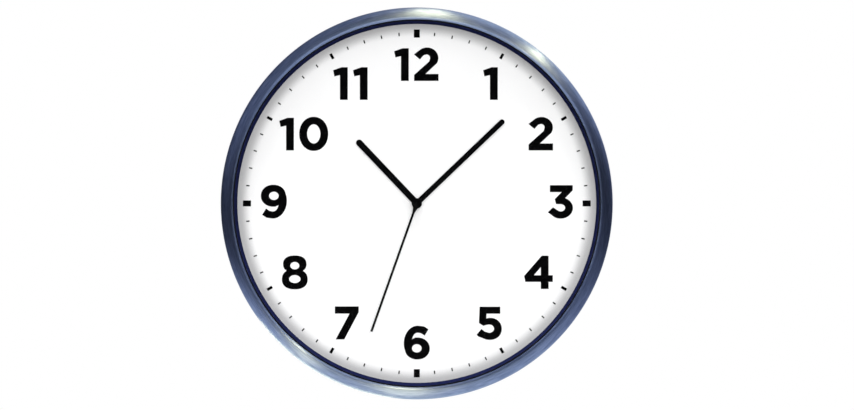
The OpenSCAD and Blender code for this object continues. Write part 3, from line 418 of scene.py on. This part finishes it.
# %% Ring
ring_low, ring_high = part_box("spacer_ring")
DIAL_OPEN_R = 163.3      # the ring's inner radius at the dial
SPACER_T = 2.0
FLANGE_T = 1.4
GASKET_SHOW = 1.1        # how far the rubber ring under the lip shows inside it
RING_SETBACK = 0.2       # from the rubber's edge in to the ring's edge
dial_z = -ring_high[1] / MM
glass_z = -ring_low[1] / MM
flange_r = ring_high[0] / MM
ring_top_r = lip_r - GASKET_SHOW - RING_SETBACK
navy_plastic = new_material("navy_moulded_plastic", Base_Color=linear("#191e40"), Roughness=0.5,
                            Specular_IOR_Level=0.0)
ripple = noise(navy_plastic, 9, detail=1.0)
feed(navy_plastic, "Base Color", shade(navy_plastic, ripple, "#171b3c", "#1c2246"))
feed(navy_plastic, "Normal", bump(navy_plastic, ripple, 0.01))
ring_section = [         # the slope has a short foot at the dial and a broken edge at the glass
    (DIAL_OPEN_R, dial_z), (DIAL_OPEN_R + 0.1, dial_z + 0.5), (ring_top_r - 0.1, glass_z - 0.4),
    (ring_top_r + 0.3, glass_z), (flange_r, glass_z), (flange_r, glass_z - FLANGE_T),
    (ring_top_r + SPACER_T, glass_z - FLANGE_T), (DIAL_OPEN_R + SPACER_T, dial_z),
]
make_piece("dark_ring", revolved(ring_section, RIM_STEPS), navy_plastic,
           replaces=["spacer_ring"])

# %% Glass
GLASS_EDGE = 0.3
GLASS_IOR = 1.25         # float glass has 1.52, and the lower value keeps the pane from showing
clear_glass = new_material("float_glass", Base_Color=linear("#ffffff"), Roughness=0.0,
                           IOR=GLASS_IOR, Transmission_Weight=1.0)


def let_lamps_through(material):
    """Lets lamp light and light between surfaces pass the pane unbent, so that the dial behind
    it is lit as it would be through real glass."""
    tree = material.node_tree
    path = add(material, "ShaderNodeLightPath")
    either = add(material, "ShaderNodeMath", {
        0: path.outputs["Is Shadow Ray"], 1: path.outputs["Is Diffuse Ray"],
    }, operation="MAXIMUM")
    clear = add(material, "ShaderNodeBsdfTransparent")
    mix = add(material, "ShaderNodeMixShader", {
        0: either.outputs[0],
        1: tree.nodes["Principled BSDF"].outputs["BSDF"],
        2: clear.outputs["BSDF"],
    })
    tree.links.new(mix.outputs["Shader"], tree.nodes["Material Output"].inputs["Surface"])


let_lamps_through(clear_glass)
glass_low, glass_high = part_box("glass_lens")
glass_r = glass_high[0] / MM
glass_top = -glass_low[1] / MM
glass_section = [
    (0, glass_z), (glass_r - GLASS_EDGE, glass_z), (glass_r, glass_z + GLASS_EDGE),
    (glass_r, glass_top - GLASS_EDGE), (glass_r - GLASS_EDGE, glass_top), (0, glass_top),
]
make_piece("front_glass", revolved(glass_section, DISC_STEPS), clear_glass,
           replaces=["glass_lens"])

# %% Rubber
rubber = new_material("epdm_rubber", Base_Color=linear("#0b0c11"), Roughness=0.7,
                      Specular_IOR_Level=0.15)
feed(rubber, "Base Color", shade(rubber, noise(rubber, 2.5, detail=3), "#090a0f", "#0f1116"))
feed(rubber, "Normal", bump(rubber, noise(rubber, 0.4), 0.02))
dress(rubber, "lens_gasket", "back_gasket", "hatch_gasket")

# %% [markdown]
# ## Dial
#
# The dial is a thin aluminium sheet with a white coat, and its figures are screen printed in
# black. The coat is satin, with the faint orange peel of sprayed paint. The case shades the
# dial's edge, and lamps that light the rest evenly give only part of that shade, so a painted
# shade darkens the coat beside the ring. The print is a separate thin layer.

# %% Coated sheet
white_coat = new_material("white_coated_aluminium", Base_Color=linear("#fafafa"), Roughness=0.45)
feed(white_coat, "Normal", bump(white_coat, noise(white_coat, 1.2), 0.003))
RIM_SHADE_START = 2.0         # distances in from the ring between which the painted shade fades out to white, in millimetres
RIM_SHADE_END = 12.5          # white, in millimetres
RIM_SHADE_KEPT = 0.56         # share of its brightness that the coat keeps beside the ring under the painted shade


def paint_rim_shade(material):
    """Coat with a painted shade that darkens it beside the ring and fades out inwards: the distance
    from the hand axis is the length of (x, 0, z)."""
    place = add(material, "ShaderNodeTexCoord").outputs["Object"]
    flat = add(material, "ShaderNodeMapping", {"Vector": place, "Scale": (1, 0, 1)})
    reach = add(material, "ShaderNodeVectorMath", {0: flat.outputs["Vector"]}, operation="LENGTH")
    # Painted shade: the coat's colour is scaled down towards the ring, standing in for the case's
    # shade.
    painted_shade = add(material, "ShaderNodeMapRange", {
        "Value": reach.outputs["Value"], "From Min": (DIAL_OPEN_R - RIM_SHADE_END) * MM,
        "From Max": (DIAL_OPEN_R - RIM_SHADE_START) * MM, "To Min": 1.0, "To Max": RIM_SHADE_KEPT,
    }, interpolation_type="SMOOTHSTEP").outputs["Result"]
    coat = shade(material, noise(material, 40), "#f9f9f9", "#fbfbfb")
    feed(material, "Base Color", add(material, "ShaderNodeVectorMath", {
        0: coat, "Scale": painted_shade}, operation="SCALE").outputs["Vector"])


paint_rim_shade(white_coat)
dial_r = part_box("dial_sheet")[1][0] / MM
DIAL_T = 0.5
DIAL_HOLE_R = 4.2
DIAL_EDGE = 0.1
dial_section = [
    (DIAL_HOLE_R, dial_z - DIAL_T), (dial_r, dial_z - DIAL_T), (dial_r, dial_z - DIAL_EDGE),
    (dial_r - DIAL_EDGE, dial_z), (DIAL_HOLE_R + DIAL_EDGE, dial_z),
    (DIAL_HOLE_R, dial_z - DIAL_EDGE),
]
make_piece("dial_face", revolved(dial_section, DISC_STEPS), white_coat,
           replaces=["dial_sheet"])

# %% Print
ink = new_material("screen_print_ink", Base_Color=linear("#030304"), Roughness=0.35,
                   Specular_IOR_Level=0.05)
feed(ink, "Base Color", shade(ink, noise(ink, 6, detail=3), "#020202", "#050506"))
feed(ink, "Normal", bump(ink, noise(ink, 0.5), 0.002))
dress(ink, "dial_print")

# %% [markdown]
# ## Hands
#
# The hands are stamped from aluminium sheet, with a riveted round boss, and lacquered satin
# black. Seen from the hand axis each outline is crossed once in every direction, so a hand is a
# grid too: rings of points from the hole out to the outline and back under it.

# %% Shape of a hand
BOSS_R = 4.7
BOSS_H = 1.6
HAND_T = 0.6
BEVEL = 0.12             # the rolled edge that stamping leaves
BOSS_EDGE = 0.15
CORNER_R = 0.25          # of a square tip
BOSS_STEPS, BLADE_STEPS, TIP_STEPS, CORNER_STEPS = 96, 26, 16, 4


def hand_outline(length, width, tip, root):
    """Outline of blade and boss, from the blade's right side round the boss and back to it: the
    boss is a circle, and the blade two straight sides with a round or a square tip. root is how
    far the blade's foot spreads past each side where it meets the boss, and how far up it ends."""
    half = width / 2
    foot = half + root[0]
    low = math.degrees(math.asin(foot / BOSS_R))
    boss = arc(0, 0, BOSS_R, BOSS_R, 90 - low, -270 + low, BOSS_STEPS)
    climb = np.linspace(boss[-1, 1], length - half, BLADE_STEPS)[1:-1]
    spread = np.clip(1 - (climb - boss[-1, 1]) / max(root[1], 0.01), 0, 1)
    left = np.stack([-half - root[0] * spread, climb], -1)
    if tip == "round":
        end = arc(0, length - half, half, half, 180, 0, TIP_STEPS)
    else:
        side, top = half - CORNER_R, length - CORNER_R
        end = np.concatenate([arc(-side, top, CORNER_R, CORNER_R, 180, 90, CORNER_STEPS),
                              arc(side, top, CORNER_R, CORNER_R, 90, 0, CORNER_STEPS)])
    right = left[::-1] * (-1, 1)
    return np.concatenate([boss, left, end, right])


def hand_shell(length, width, boss_z, hole_r, angle, tip, dome, root):
    """Rings of the hand from the hole's top edge outwards and down, then back under to the hole.
    A ring is the outline drawn in by a small inset, or a circle at the same directions. dome is
    how far the boss's middle stands above its sheet."""
    outline = hand_outline(length, width, tip, root)
    step = np.roll(outline, -1, axis=0) - np.roll(outline, 1, axis=0)
    outward = np.stack([-step[:, 1], step[:, 0]], -1) / np.hypot(*step.T)[:, None]
    heading = outline / np.hypot(*outline.T)[:, None]
    reach = np.hypot(*outline.T)
    top = boss_z + BOSS_H - dome
    under = top - HAND_T

    def circle(radius, height):
        return np.column_stack([heading * np.minimum(radius, reach)[:, None],
                                np.full(len(outline), height)])

    def edge(inset, height):
        return np.column_stack([outline - outward * inset, np.full(len(outline), height)])

    rings = [
        circle(hole_r, top + dome), circle(BOSS_R * 0.8, top + dome),
        circle(BOSS_R * 0.97, top), edge(BEVEL, top), edge(BEVEL / 4, top - BEVEL / 3),
        edge(0, top - BEVEL), edge(0, under + BEVEL), edge(BEVEL, under),
        circle(BOSS_R, under), circle(BOSS_R, boss_z + BOSS_EDGE),
        circle(BOSS_R - BOSS_EDGE, boss_z), circle(hole_r, boss_z),
    ]
    grid = np.stack(rings)
    turn = -math.radians(angle)
    x = grid[..., 0] * math.cos(turn) - grid[..., 1] * math.sin(turn)
    y = grid[..., 0] * math.sin(turn) + grid[..., 1] * math.cos(turn)
    points = stood_up(x, y, grid[..., 2]).reshape(-1, 3)
    return welded(points, grid_faces(len(rings), len(outline), hole_r > 0, True))


# %% Lacquer and the three hands
lacquer = new_material("satin_black_lacquer", Base_Color=linear("#030304"), Roughness=0.3,
                       Specular_IOR_Level=0.08)
feed(lacquer, "Base Color", shade(lacquer, noise(lacquer, 5, detail=3), "#020203", "#060607"))
feed(lacquer, "Normal", bump(lacquer, noise(lacquer, 0.6), 0.002))
HANDS = {  # node, body, then length, width, hole's radius, angle from 12, tip, dome and root
    "hour_pointer": ("hour_hand", "hour", 78.9, 5.8, 2.42, 316.5, "round", 0.0, (0, 0)),
    "minute_pointer": ("minute_hand", "minute", 109.4, 4.9, 1.62, 46.3, "round", 0.0, (0, 0)),
    "second_pointer": ("second_hand", "second", 123.4, 2.1, 0.0, 199.5, "square", 0.3,
                       (1.1, 2.4)),
}
for name, (node, body, length, width, *rest) in HANDS.items():
    boss_z = -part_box(node)[1][1] / MM
    make_piece(name, hand_shell(length, width, boss_z, *rest), lacquer, [node],
               body)

# %% [markdown]
# ## Moulded parts
#
# The back cover, hatch and movement are injection-moulded ABS. The mould was spark eroded, which
# leaves a fine even grain, so the black never shines like glass. The movement's plates come from
# polished tools and are smoother, and the wheels are acetal, milky and a little slippery.

# %% Plastics
GRAIN_ROUGHNESS = 0.06   # how far the roughness runs to both sides over the grain


def moulded(name, dark, light, grain_mm, depth_mm, roughness):
    """Spark-eroded plastic: colour varies a little over centimetres, and the grain is bump."""
    material = new_material(name, Base_Color=linear(dark), Roughness=roughness, IOR=1.5)
    feed(material, "Base Color", shade(material, noise(material, 18, detail=3), dark, light))
    grain = noise(material, grain_mm, detail=3)
    feed(material, "Normal", bump(material, grain, depth_mm))
    feed(material, "Roughness",
         between(material, grain, roughness - GRAIN_ROUGHNESS, roughness + GRAIN_ROUGHNESS))
    return material


cover_plastic = moulded("grained_black_abs", "#1c1d20", "#25272b", 0.7, 0.05, 0.55)
hatch_plastic = moulded("fine_grained_abs", "#202226", "#292b30", 0.5, 0.03, 0.5)
case_plastic = moulded("movement_case_abs", "#1a1c20", "#22252a", 0.4, 0.02, 0.45)
carrier_plastic = moulded("white_polystyrene", "#d3d3cf", "#dcdcd8", 1.0, 0.01, 0.4)
plate_plastic = moulded("natural_styrene", "#dadad2", "#e4e4de", 0.8, 0.005, 0.3)
acetal = moulded("milky_acetal", "#ded8c4", "#e9e4d4", 0.6, 0.004, 0.35)
button_plastic = moulded("grey_button_plastic", "#bfc1c6", "#cccfd3", 0.4, 0.01, 0.4)
dress(cover_plastic, "back_cover")
dress(hatch_plastic, "battery_hatch")
dress(case_plastic, "movement_back_case")
dress(carrier_plastic, "dial_carrier")
dress(plate_plastic, "movement_front_plate", "train_plate")
dress(acetal, "second_step_wheel", "second_wheel", "minute_step_wheel", "minute_wheel",
      "motion_wheel", "hour_wheel")
dress(button_plastic, "set_button", "receive_button", "reset_button")

# %% [markdown]
# ## Metal fittings and electronics
#
# Screws and contacts are plated steel, the hanger is pressed sheet with a rolled grain. The
# circuit board has a green solder mask with darker bare areas and paler tracks under it, and the
# windings are enamelled copper whose turns show as fine ridges.

# %% Plated and pressed metal
def metal(name, dark, light, roughness, size_mm, stretch=(1, 1, 1), depth_mm=0.004):
    """Metal with a grain that may be drawn out along an axis by rolling or drawing."""
    material = new_material(name, Base_Color=linear(light), Metallic=1.0, Roughness=roughness)
    grain = noise(material, size_mm, stretch, detail=3)
    feed(material, "Base Color", shade(material, grain, dark, light))
    feed(material, "Roughness",
         between(material, grain, roughness - GRAIN_ROUGHNESS, roughness + GRAIN_ROUGHNESS))
    feed(material, "Normal", bump(material, grain, depth_mm))
    return material


zinc_plate = metal("zinc_plated_steel", "#b4b8be", "#c8ccd2", 0.3, 1.5)
hanger_steel = metal("rolled_galvanised_steel", "#8f9297", "#b2b5ba", 0.38, 0.6, (30, 1, 1))
can_metal = metal("drawn_nickel_can", "#bfc3c7", "#d2d6da", 0.22, 0.8)
soft_iron = metal("stamped_soft_iron", "#7f8286", "#999ca0", 0.42, 0.8, (8, 1, 1))
contact_plate = metal("nickel_plated_spring_steel", "#bcb08a", "#d2c79c", 0.28, 1.0)
magnet_grey = metal("sintered_magnet", "#4c4f54", "#606369", 0.55, 0.5)
dress(zinc_plate, "cover_screws", "hanger_screws", "hatch_screws", "movement_screws")
dress(hanger_steel, "hanger_plate")
dress(can_metal, "quartz_crystals")
dress(soft_iron, "second_stator", "minute_stator")
dress(contact_plate, "battery_spring", "battery_plate")
dress(magnet_grey, "second_rotor", "minute_rotor")

# %% Board, chips, windings and cell
board_mask = new_material("solder_mask", Base_Color=linear("#1d6b3a"), Roughness=0.3)
PAD_PITCH = 2.5          # spacing of the pads on the board, in mm
tracks = add(board_mask, "ShaderNodeTexVoronoi", {
    "Vector": add(board_mask, "ShaderNodeTexCoord").outputs["Object"],
    "Scale": 1 / (PAD_PITCH * MM),
}, distance="MANHATTAN").outputs["Distance"]
feed(board_mask, "Base Color", shade(board_mask, tracks, "#2b8049", "#17592f"))
feed(board_mask, "Normal", bump(board_mask, tracks, 0.02))
chip_epoxy = moulded("chip_epoxy", "#121316", "#1a1b1f", 0.2, 0.01, 0.6)
ferrite = moulded("sintered_ferrite", "#34363b", "#44474c", 0.3, 0.02, 0.6)


def winding_of(name, pitch_mm):
    """Enamelled copper: ridges along X, one a turn, from a sine wave on Object coordinates. At a
    scale of 1 the wave repeats every pi over 10 metres."""
    material = new_material(
        name, Base_Color=linear("#b0662c"), Metallic=1.0, Roughness=0.3, Coat_Weight=0.5)
    place = add(material, "ShaderNodeTexCoord").outputs["Object"]
    turns = add(material, "ShaderNodeTexWave", {
        "Vector": place, "Scale": math.pi / 10 / (pitch_mm * MM), "Distortion": 0.6,
    }, bands_direction="X", wave_profile="SIN").outputs["Fac"]
    feed(material, "Base Color", shade(material, turns, "#8a4718", "#c27a3a"))
    feed(material, "Normal", bump(material, turns, 0.1))
    return material


WIRE_PITCH = 0.5         # real wire is 0.1 mm thick, and is drawn coarser so that it shows
copper = winding_of("enamelled_copper", WIRE_PITCH)
cell_jacket = new_material(
    "printed_cell_jacket", Base_Color=linear("#3f6f9f"), Metallic=0.6, Roughness=0.25,
    Coat_Weight=0.6)
feed(cell_jacket, "Base Color",
     shade(cell_jacket, noise(cell_jacket, 12, (1, 8, 8)), "#3a6896", "#4576a6"))
dress(board_mask, "circuit_board")
dress(chip_epoxy, "circuit_chips")
dress(ferrite, "ferrite_rod")
dress(copper, "antenna_coil", "second_motor_coil", "minute_motor_coil")
dress(cell_jacket, "battery_cell")

# %% [markdown]
# ## Studio
#
# A plain pale floor and a white surround. The world is white where the camera, a mirror or the
# glass sees it, and dimmer where it lights matt surfaces. A softbox beside the camera lights the
# dial evenly, one above lights the ring, and one behind lights the back. Brushed metal shows a
# lamp where its direction lies across the scratches, so each narrow strip makes a flare on the
# rim at its own bearing and one opposite. The strips are linked to the case alone, because they
# would glare in the glass. What the rim mirrors between its flares is a graded screen, bright
# below, bright to the upper right and dark to the sides, as a room with two windows would be.

# %% World
world = bpy.data.worlds.new("studio")
bpy.context.scene.world = world
world.use_nodes = True
AMBIENT = 0.67
FROM_ABOVE = 0.25        # how much brighter the light is from straight above, and dimmer below


def light_world():
    """White for camera, glossy and transmission rays. For the others the strength runs evenly
    with the height of their direction, and its mean is AMBIENT."""
    path = add(world, "ShaderNodeLightPath").outputs
    mirrored = add(world, "ShaderNodeMath", {
        0: path["Is Camera Ray"], 1: path["Is Glossy Ray"]}, operation="MAXIMUM").outputs[0]
    seen = add(world, "ShaderNodeMath", {
        0: mirrored, 1: path["Is Transmission Ray"]}, operation="MAXIMUM").outputs[0]
    direction = add(world, "ShaderNodeTexCoord").outputs["Generated"]
    height = add(world, "ShaderNodeSeparateXYZ", {0: direction}).outputs["Z"]
    plain = add(world, "ShaderNodeMapRange", {
        "Value": height, "From Min": -1.0, "From Max": 1.0, "To Min": AMBIENT * (1 - FROM_ABOVE),
        "To Max": AMBIENT * (1 + FROM_ABOVE)}).outputs["Result"]
    strength = add(world, "ShaderNodeMapRange", {
        "Value": seen, "To Min": plain, "To Max": 1.0}).outputs["Result"]
    background = world.node_tree.nodes["Background"]
    background.inputs["Color"].default_value = (1, 1, 1, 1)
    world.node_tree.links.new(strength, background.inputs["Strength"])
    print("light from all round:", AMBIENT)


light_world()

# %% Softboxes
def softbox(name, bearing, tilt, distance, size, radiance, tint=(1, 1, 1)):
    """Area lamp aimed at the dial. bearing is its direction as the camera sees it, in degrees
    from 3 o'clock towards 12, and tilt its angle off the hand axis. Its first side runs round
    the clock and its second along the tilt. An area lamp of sides a and b that shines with a
    given radiance needs pi times a times b times as many watts."""
    lamp = bpy.data.lights.new(name, "AREA")
    lamp.shape = "RECTANGLE"
    lamp.size = size[0]
    lamp.size_y = size[1]
    lamp.energy = math.pi * size[0] * size[1] * radiance
    lamp.color = tint
    obj = bpy.data.objects.new(name, lamp)
    lean = math.radians(tilt)
    obj.matrix_world = (Matrix.Rotation(math.radians(90 - bearing), 4, "Y")
                        @ Matrix.Translation((0, -math.cos(lean) * distance,
                                              math.sin(lean) * distance))
                        @ Matrix.Rotation(math.radians(90) - lean, 4, "X"))
    bpy.context.scene.collection.objects.link(obj)
    obj.visible_camera = False
    obj.visible_transmission = False
    print(name, "bearing:", bearing, "watts:", round(lamp.energy, 1))
    return obj


SOFTBOXES = {            # bearing, tilt, distance, size and radiance
    "softbox_key": (60, 8, 2.4, (1.2, 1.2), 6.3),
    "softbox_above": (90, 78, 1.6, (0.8, 0.4), 20.0),
    "softbox_rear": (125, 140, 1.6, (0.8, 0.8), 1.5),
}
for name, lamp in SOFTBOXES.items():
    softbox(name, *lamp).visible_glossy = False

# %% Strips for the rim
WARM = (1.0, 0.79, 0.37)
STRIPS = {               # bearing, tilt, distance, size and radiance of the lamps for the rim
    "strip_right": (51.0, 56, 1.6, (0.08, 2.2), 8.4),
    "strip_top": (86.0, 56, 1.6, (0.27, 1.8), 4.2),
    "strip_right_low": (51.0, 34, 1.6, (0.06, 1.2), 4.2),
    "strip_top_low": (86.0, 34, 1.6, (0.15, 1.2), 2.8),
    "strip_left": (233.5, 36, 1.6, (0.10, 1.4), 3.4),
    "strip_bottom": (266, 36, 1.6, (0.26, 1.4), 2.4),
    "edge_light": (240, 118, 1.6, (1.2, 0.5), 8.0),
}
lit_by_strips = bpy.data.collections.new("lit_by_strips")
lit_by_strips.objects.link(case)
for name, lamp in STRIPS.items():
    softbox(name, *lamp, WARM).light_linking.receiver_collection = lit_by_strips

# %% Floor
def card(name, corners, material, faces=None):
    """A sheet that belongs to the studio, with one face unless it is given more."""
    mesh = bpy.data.meshes.new(name)
    mesh.from_pydata(corners, [], faces or [list(range(len(corners)))])
    mesh.materials.append(material)
    obj = bpy.data.objects.new(name, mesh)
    bpy.context.scene.collection.objects.link(obj)
    print(name, "faces:", len(mesh.polygons))
    return obj


FLOOR_Z = -0.30
FLOOR_R = 0.8
around = np.radians(np.arange(0, 360, 5))
floor_ring = np.stack([FLOOR_R * np.cos(around), FLOOR_R * np.sin(around),
                       np.full(len(around), FLOOR_Z)], axis=-1)
floor_paint = new_material("floor_paint", Base_Color=linear("#f2f2f0"), Roughness=1.0)
floor = card("pale_floor", floor_ring.tolist(), floor_paint)
floor.visible_diffuse = False
floor.visible_glossy = False

# %% Graded screen
SCREEN_DISTANCE = 2.9    # from the dial, so that it stands behind the camera
SCREEN_TILT = (8, 30, 78, 105, 135)  # off the hand axis: inner edge, where each of the three
                                     # tones lies, outer edge
GLOWS = {                # bearing, width and brightness at low, high and extreme tilt
    "window_right": (53, 32, (0.16, 0.81, 1.29)), "window_top": (92, 38, (0.0, 0.60, 0.06)),
    "wall_left": (152, 24, (0.22, 0.2, 0.04)), "table_left": (223, 19, (0.36, 0.74, 0.84)),
    "table_below": (255, 32, (0.93, 0.69, 1.58)), "table_right": (302, 30, (0.8, 0.52, 0.99)),
}
COOL = 1.3               # blue beside red and green where the screen is darkest, and how fast
COOL_FALL = 0.32         # that share falls as it brightens
SCREEN_COLUMNS = 181
SCREEN_ROWS = 31
CAMERA_SIDE = 0.01       # brightness straight in front, where the room is dark


def glow_at(bearing):
    """Brightness at low, high and extreme tilt. Each glow falls off on both sides of its bearing,
    as e to the power of minus the square of distance over width."""
    centre, width, tones = zip(*GLOWS.values())
    away = (bearing[:, None] - centre + 180) % 360 - 180
    return np.exp(-(away / width) ** 2) @ tones


def screen_piece(name, bearing, tones, edges):
    """Part of a sphere round the clock: x and z are sine of tilt times cosine and sine of the
    bearing, and y is minus cosine of tilt. It glows evenly from one given tone to the next, and
    only mirrors and glass see it."""
    tilt = np.linspace(edges[0], edges[-1], SCREEN_ROWS)
    tone = np.array([np.interp(tilt, edges[1:-1], column) for column in tones])
    turn, lean = np.radians(bearing)[:, None], np.radians(tilt)
    points = SCREEN_DISTANCE * np.stack(np.broadcast_arrays(
        np.sin(lean) * np.cos(turn), -np.cos(lean) + 0 * turn,
        np.sin(lean) * np.sin(turn)), axis=-1).reshape(-1, 3)
    material = new_material(name, Base_Color=linear("#000000"), Specular_IOR_Level=0.0,
                            Emission_Strength=1.0)
    material.cycles.emission_sampling = "NONE"
    feed(material, "Emission Color", add(
        material, "ShaderNodeAttribute", attribute_name="tone").outputs["Color"])
    obj = card(name, points.tolist(), material, grid_faces(*tone.shape).tolist())
    colour = np.stack([tone, tone, tone * (COOL - COOL_FALL * tone), np.ones_like(tone)], axis=-1)
    obj.data.attributes.new("tone", "FLOAT_COLOR", "POINT").data.foreach_set("color", colour.ravel())
    obj.visible_camera = False
    obj.visible_diffuse = False
    obj.visible_shadow = False


screen_bearing = np.linspace(-90, 270, SCREEN_COLUMNS)
screen_piece("screen_round", screen_bearing, glow_at(screen_bearing), SCREEN_TILT)
screen_piece("screen_camera", screen_bearing, np.full((SCREEN_COLUMNS, 3), CAMERA_SIDE),
             (0, 2, 4, 6, 9))

# %% Picture settings
bpy.context.scene.view_settings.view_transform = "Standard"
